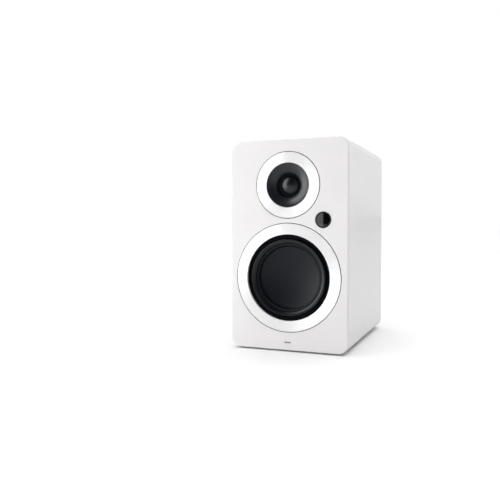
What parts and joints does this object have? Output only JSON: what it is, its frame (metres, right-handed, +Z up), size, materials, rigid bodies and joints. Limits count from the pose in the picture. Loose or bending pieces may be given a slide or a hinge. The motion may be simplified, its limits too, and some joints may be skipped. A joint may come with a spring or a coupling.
{
  "type": "bookshelf speaker",
  "caption": "Powered two-way bookshelf speaker: white lacquered box, turned metal trim rings round woofer and tweeter, flush display window, rear bass port and amplifier plate.",
  "frame": {"origin": "on the surface that the feet stand on, at the centre of the box that holds the whole part", "axes": "+X to the right of a listener who faces the front, +Y from the front to the back, +Z up"},
  "size_m": [0.168, 0.2608, 0.29],
  "materials": {
    "lacquer": "white satin polyester lacquer",
    "board": "raw fibreboard",
    "trim_aluminium": "face-turned, fine concentric lines",
    "black_plastic": "fine moulded texture",
    "gloss_black": "polished",
    "rubber": "satin",
    "cone": "satin moulded pulp and polymer",
    "silk": "coated woven silk",
    "black_metal": "fine powder coat",
    "steel": "zinc plated",
    "badge_metal": "satin",
    "ferrite": "sintered",
    "copper": "enamelled copper wire",
    "brass": "turned and plated",
    "amber": "resin-stiffened cloth",
    "circuit": "solder mask",
    "wadding": "loose polyester",
    "signal_red": "moulded"
  },
  "bodies": {
    "cabinet": {"cabinet_wrap": "lacquer", "front_baffle": "lacquer", "rear_panel": "lacquer", "cabinet_brace": "board", "damping_pad": "wadding", "badge": "badge_metal", "woofer_trim_ring": "trim_aluminium", "woofer_basket": "black_metal", "woofer_gasket": "rubber", "woofer_surround": "rubber", "woofer_spider": "amber", "woofer_top_plate": "steel", "woofer_magnet": "ferrite", "woofer_pole_yoke": "steel", "tweeter_trim_ring": "trim_aluminium", "tweeter_waveguide": "black_plastic", "tweeter_top_plate": "steel", "tweeter_magnet": "ferrite", "tweeter_pole_yoke": "steel", "display_bezel": "black_plastic", "display_lens": "gloss_black", "display_board": "circuit", "port_tube": "black_plastic", "amp_plate": "black_metal", "amp_housing": "black_plastic", "amp_board": "circuit", "power_transformer": "amber", "main_capacitor": "gloss_black", "heat_sink": "steel", "mains_inlet": "black_plastic", "power_switch_body": "black_plastic", "encoder_body": "steel", "rca_block": "black_plastic", "optical_socket": "black_plastic", "post_block": "black_plastic", "post_stud_red": "brass", "post_stud_black": "brass", "woofer_lead": "black_plastic", "tweeter_lead": "black_plastic", "grille_magnet_1": "steel", "grille_magnet_2": "steel", "grille_magnet_3": "steel", "grille_magnet_4": "steel", "foot_front_left": "rubber", "foot_front_right": "rubber", "foot_rear_left": "rubber", "foot_rear_right": "rubber"},
    "woofer_moving": {"woofer_cone": "cone", "woofer_former": "amber", "woofer_voice_coil": "copper"},
    "tweeter_moving": {"tweeter_dome": "silk", "tweeter_voice_coil": "copper"},
    "volume_rotor": {"encoder_rotor": "black_plastic"},
    "volume_control": {"encoder_shaft": "steel", "volume_knob": "black_metal"},
    "rocker": {"power_rocker": "gloss_black"},
    "red_collar": {"post_collar_red": "brass"},
    "red_cap": {"post_cap_red": "signal_red"},
    "black_collar": {"post_collar_black": "brass"},
    "black_cap": {"post_cap_black": "gloss_black"}
  },
  "joints": [
    {"name": "woofer_excursion", "type": "slide", "parent": "cabinet", "child": "woofer_moving", "axis": [0, -1, 0], "range_m": [-0.004, 0.004], "stiffness_N_per_m": 1000, "deforming": ["woofer_surround", "woofer_spider"]},
    {"name": "tweeter_excursion", "type": "slide", "parent": "cabinet", "child": "tweeter_moving", "axis": [0, -1, 0], "range_m": [-0.0005, 0.0005], "stiffness_N_per_m": 1500},
    {"name": "volume_turn", "type": "hinge", "parent": "cabinet", "child": "volume_rotor", "pos_m": [0, 0.1128, 0.15], "axis": [0, 1, 0], "continuous": true},
    {"name": "volume_push", "type": "slide", "parent": "volume_rotor", "child": "volume_control", "axis": [0, -1, 0], "range_m": [0, 0.0008], "stiffness_N_per_m": 1500, "springref_m": -0.0005},
    {"name": "power_rock", "type": "hinge", "parent": "cabinet", "child": "rocker", "pos_m": [-0.036, 0.1126, 0.07], "axis": [1, 0, 0], "range_deg": [0, 16]},
    {"name": "red_collar_slide", "type": "slide", "parent": "cabinet", "child": "red_collar", "axis": [0, 1, 0], "range_m": [0, 0.004]},
    {"name": "red_cap_turn", "type": "hinge", "parent": "red_collar", "child": "red_cap", "pos_m": [0.0205, 0.12, 0.046], "axis": [0, 1, 0], "range_deg": [0, 1800]},
    {"name": "black_collar_slide", "type": "slide", "parent": "cabinet", "child": "black_collar", "axis": [0, 1, 0], "range_m": [0, 0.004]},
    {"name": "black_cap_turn", "type": "hinge", "parent": "black_collar", "child": "black_cap", "pos_m": [0.0395, 0.12, 0.046], "axis": [0, 1, 0], "range_deg": [0, 1800]}
  ],
  "couplings": [
    {"joint": "red_cap_turn", "follows": "red_collar_slide", "rad_per_m": 7853.9},
    {"joint": "black_cap_turn", "follows": "black_collar_slide", "rad_per_m": 7853.9}
  ]
}
